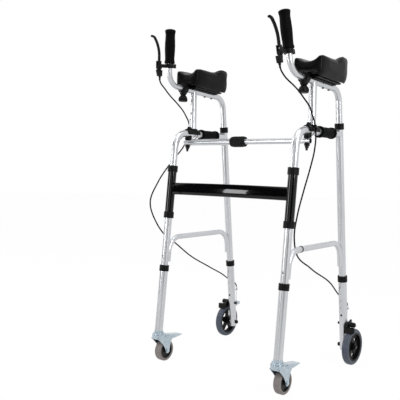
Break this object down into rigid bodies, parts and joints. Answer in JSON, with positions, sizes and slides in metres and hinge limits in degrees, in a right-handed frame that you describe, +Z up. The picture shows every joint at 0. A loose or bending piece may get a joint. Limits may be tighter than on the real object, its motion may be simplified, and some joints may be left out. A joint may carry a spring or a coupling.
{
  "type": "upright walker",
  "caption": "Folding walking frame on casters and wheels with raised padded forearm troughs, upright hand grips, brake levers and height-adjustable legs.",
  "frame": {"origin": "on the floor under the middle of the overall width and depth", "axes": "+Z up, -Y is the front where the casters and hand grips are, +X is to the right for a viewer who stands ahead and looks at the walker's front"},
  "size_m": [0.6, 0.5847, 1.1629],
  "materials": {
    "satin_tube": "satin anodised tube",
    "gloss_enamel": "gloss black enamel on steel",
    "black_moulding": "fine-grained black moulding",
    "soft_grip": "matte black grip rubber",
    "pad_cover": "black vinyl cover over foam, slight sheen",
    "zinc_steel": "bright zinc plating",
    "cable_sheath": "black sheath",
    "caster_rubber": "warm grey caster tread",
    "wheel_rubber": "dark grey tread"
  },
  "bodies": {
    "front_panel": {"cross_brace": "gloss_enamel", "sleeve_bushes": "black_moulding"},
    "left_side": {"left_side_frame": "satin_tube", "left_handle_grip": "soft_grip", "left_arm_fittings": "black_moulding", "left_arm_frame": "satin_tube", "left_pad_base": "black_moulding", "left_forearm_pad": "pad_cover", "left_frame_bolts": "zinc_steel", "left_brake_cable": "cable_sheath"},
    "left_grip": {"left_grip_rod": "satin_tube", "left_hand_grip": "soft_grip", "left_lever_bracket": "black_moulding"},
    "left_lever": {"left_brake_lever": "black_moulding"},
    "left_knob": {"left_clamp_knob": "black_moulding"},
    "left_front_extension": {"left_front_leg": "satin_tube", "left_front_leg_collar": "black_moulding", "left_caster_head": "zinc_steel"},
    "left_front_pin": {"left_front_leg_button": "zinc_steel"},
    "left_caster": {"left_caster_fork": "zinc_steel"},
    "left_caster_roller": {"left_caster_wheel": "caster_rubber"},
    "left_toe_pedal": {"left_caster_pedal": "zinc_steel"},
    "left_rear_extension": {"left_rear_leg": "satin_tube", "left_rear_leg_collar": "black_moulding", "left_wheel_bolts": "zinc_steel"},
    "left_rear_pin": {"left_rear_leg_button": "zinc_steel"},
    "left_brake": {"left_brake_arm": "black_moulding"},
    "left_wheel": {"left_rear_tyre": "wheel_rubber", "left_rear_hub": "black_moulding"},
    "left_bar": {"left_cross_tube": "satin_tube"},
    "right_side": {"right_side_frame": "satin_tube", "right_handle_grip": "soft_grip", "right_arm_fittings": "black_moulding", "right_arm_frame": "satin_tube", "right_pad_base": "black_moulding", "right_forearm_pad": "pad_cover", "right_frame_bolts": "zinc_steel", "right_brake_cable": "cable_sheath"},
    "right_grip": {"right_grip_rod": "satin_tube", "right_hand_grip": "soft_grip", "right_lever_bracket": "black_moulding"},
    "right_lever": {"right_brake_lever": "black_moulding"},
    "right_knob": {"right_clamp_knob": "black_moulding"},
    "right_front_extension": {"right_front_leg": "satin_tube", "right_front_leg_collar": "black_moulding", "right_caster_head": "zinc_steel"},
    "right_front_pin": {"right_front_leg_button": "zinc_steel"},
    "right_caster": {"right_caster_fork": "zinc_steel"},
    "right_caster_roller": {"right_caster_wheel": "caster_rubber"},
    "right_toe_pedal": {"right_caster_pedal": "zinc_steel"},
    "right_rear_extension": {"right_rear_leg": "satin_tube", "right_rear_leg_collar": "black_moulding", "right_wheel_bolts": "zinc_steel"},
    "right_rear_pin": {"right_rear_leg_button": "zinc_steel"},
    "right_brake": {"right_brake_arm": "black_moulding"},
    "right_wheel": {"right_rear_tyre": "wheel_rubber", "right_rear_hub": "black_moulding"},
    "right_bar": {"right_cross_tube": "satin_tube"},
    "bar_lock": {"bar_lock_collar": "black_moulding"}
  },
  "joints": [
    {"name": "left_fold", "type": "hinge", "parent": "front_panel", "child": "left_side", "pos_m": [-0.246, -0.16328, 0.59671], "axis": [0, -0.1045, -0.9945], "range_deg": [0, 26]},
    {"name": "left_bar_swivel", "type": "hinge", "parent": "left_side", "child": "left_bar", "pos_m": [-0.246, -0.07374, 0.77895], "axis": [0, 0.1045, 0.9945], "range_deg": [0, 26]},
    {"name": "left_grip_slide", "type": "slide", "parent": "left_side", "child": "left_grip", "axis": [0, -0.9986, 0.0523], "range_m": [0, 0.06], "deforming": ["left_brake_cable"]},
    {"name": "left_lever_squeeze", "type": "hinge", "parent": "left_grip", "child": "left_lever", "pos_m": [-0.24077, -0.2394, 1.02788], "axis": [-0.9945, 0.0055, 0.1044], "range_deg": [0, 22], "stiffness_Nm_per_rad": 2, "springref_deg": -5.73},
    {"name": "left_knob_turn", "type": "hinge", "parent": "left_side", "child": "left_knob", "pos_m": [-0.246, -0.10531, 0.93498], "axis": [0, 0.0523, 0.9986], "range_deg": [0, 270]},
    {"name": "left_front_height", "type": "slide", "parent": "left_side", "child": "left_front_extension", "axis": [0, -0.1045, -0.9945], "range_m": [0, 0.1016]},
    {"name": "left_front_pin_press", "type": "slide", "parent": "left_front_extension", "child": "left_front_pin", "axis": [0, -0.9945, 0.1045], "range_m": [0, 0.003], "stiffness_N_per_m": 800, "springref_m": -0.001},
    {"name": "left_caster_swivel", "type": "hinge", "parent": "left_front_extension", "child": "left_caster", "pos_m": [-0.246, -0.21486, 0.09], "axis": [0, 0, 1], "continuous": true},
    {"name": "left_caster_roll", "type": "hinge", "parent": "left_caster", "child": "left_caster_roller", "pos_m": [-0.246, -0.18486, 0.0375], "axis": [1, 0, 0], "continuous": true},
    {"name": "left_pedal_press", "type": "hinge", "parent": "left_caster", "child": "left_toe_pedal", "pos_m": [-0.246, -0.18286, 0.084], "axis": [-1, 0, 0], "range_deg": [0, 12], "stiffness_Nm_per_rad": 4, "springref_deg": -8.59},
    {"name": "left_rear_height", "type": "slide", "parent": "left_side", "child": "left_rear_extension", "axis": [0, 0.1132, -0.9936], "range_m": [0, 0.1016], "deforming": ["left_brake_cable"]},
    {"name": "left_rear_pin_press", "type": "slide", "parent": "left_rear_extension", "child": "left_rear_pin", "axis": [0, 0.9936, 0.1132], "range_m": [0, 0.003], "stiffness_N_per_m": 800, "springref_m": -0.001},
    {"name": "left_brake_press", "type": "hinge", "parent": "left_rear_extension", "child": "left_brake", "pos_m": [-0.275, 0.22171, 0.143], "axis": [1, 0, 0], "range_deg": [0, 2.2]},
    {"name": "left_wheel_roll", "type": "hinge", "parent": "left_rear_extension", "child": "left_wheel", "pos_m": [-0.2777, 0.23077, 0.0635], "axis": [1, 0, 0], "continuous": true},
    {"name": "right_fold", "type": "hinge", "parent": "front_panel", "child": "right_side", "pos_m": [0.246, -0.16328, 0.59671], "axis": [0, 0.1045, 0.9945], "range_deg": [0, 26]},
    {"name": "right_bar_swivel", "type": "hinge", "parent": "right_side", "child": "right_bar", "pos_m": [0.246, -0.07374, 0.77895], "axis": [0, -0.1045, -0.9945], "range_deg": [0, 26]},
    {"name": "right_grip_slide", "type": "slide", "parent": "right_side", "child": "right_grip", "axis": [0, -0.9986, 0.0523], "range_m": [0, 0.06], "deforming": ["right_brake_cable"]},
    {"name": "right_lever_squeeze", "type": "hinge", "parent": "right_grip", "child": "right_lever", "pos_m": [0.24077, -0.2394, 1.02788], "axis": [-0.9945, -0.0055, -0.1044], "range_deg": [0, 22], "stiffness_Nm_per_rad": 2, "springref_deg": -5.73},
    {"name": "right_knob_turn", "type": "hinge", "parent": "right_side", "child": "right_knob", "pos_m": [0.246, -0.10531, 0.93498], "axis": [0, 0.0523, 0.9986], "range_deg": [0, 270]},
    {"name": "right_front_height", "type": "slide", "parent": "right_side", "child": "right_front_extension", "axis": [0, -0.1045, -0.9945], "range_m": [0, 0.1016]},
    {"name": "right_front_pin_press", "type": "slide", "parent": "right_front_extension", "child": "right_front_pin", "axis": [0, -0.9945, 0.1045], "range_m": [0, 0.003], "stiffness_N_per_m": 800, "springref_m": -0.001},
    {"name": "right_caster_swivel", "type": "hinge", "parent": "right_front_extension", "child": "right_caster", "pos_m": [0.246, -0.21486, 0.09], "axis": [0, 0, 1], "continuous": true},
    {"name": "right_caster_roll", "type": "hinge", "parent": "right_caster", "child": "right_caster_roller", "pos_m": [0.246, -0.18486, 0.0375], "axis": [1, 0, 0], "continuous": true},
    {"name": "right_pedal_press", "type": "hinge", "parent": "right_caster", "child": "right_toe_pedal", "pos_m": [0.246, -0.18286, 0.084], "axis": [-1, 0, 0], "range_deg": [0, 12], "stiffness_Nm_per_rad": 4, "springref_deg": -8.59},
    {"name": "right_rear_height", "type": "slide", "parent": "right_side", "child": "right_rear_extension", "axis": [0, 0.1132, -0.9936], "range_m": [0, 0.1016], "deforming": ["right_brake_cable"]},
    {"name": "right_rear_pin_press", "type": "slide", "parent": "right_rear_extension", "child": "right_rear_pin", "axis": [0, 0.9936, 0.1132], "range_m": [0, 0.003], "stiffness_N_per_m": 800, "springref_m": -0.001},
    {"name": "right_brake_press", "type": "hinge", "parent": "right_rear_extension", "child": "right_brake", "pos_m": [0.275, 0.22171, 0.143], "axis": [1, 0, 0], "range_deg": [0, 2.2]},
    {"name": "right_wheel_roll", "type": "hinge", "parent": "right_rear_extension", "child": "right_wheel", "pos_m": [0.2777, 0.23077, 0.0635], "axis": [1, 0, 0], "continuous": true},
    {"name": "bar_lock_twist", "type": "hinge", "parent": "left_bar", "child": "bar_lock", "pos_m": [-0.019, -0.07374, 0.77895], "axis": [1, 0, 0], "range_deg": [0, 90]}
  ],
  "couplings": [
    {"joint": "left_brake_press", "follows": "left_lever_squeeze", "ratio": 0.1},
    {"joint": "left_bar_swivel", "follows": "left_fold", "ratio": 1},
    {"joint": "right_brake_press", "follows": "right_lever_squeeze", "ratio": 0.1},
    {"joint": "right_bar_swivel", "follows": "left_fold", "ratio": 1},
    {"joint": "right_fold", "follows": "left_fold", "ratio": 1}
  ]
}
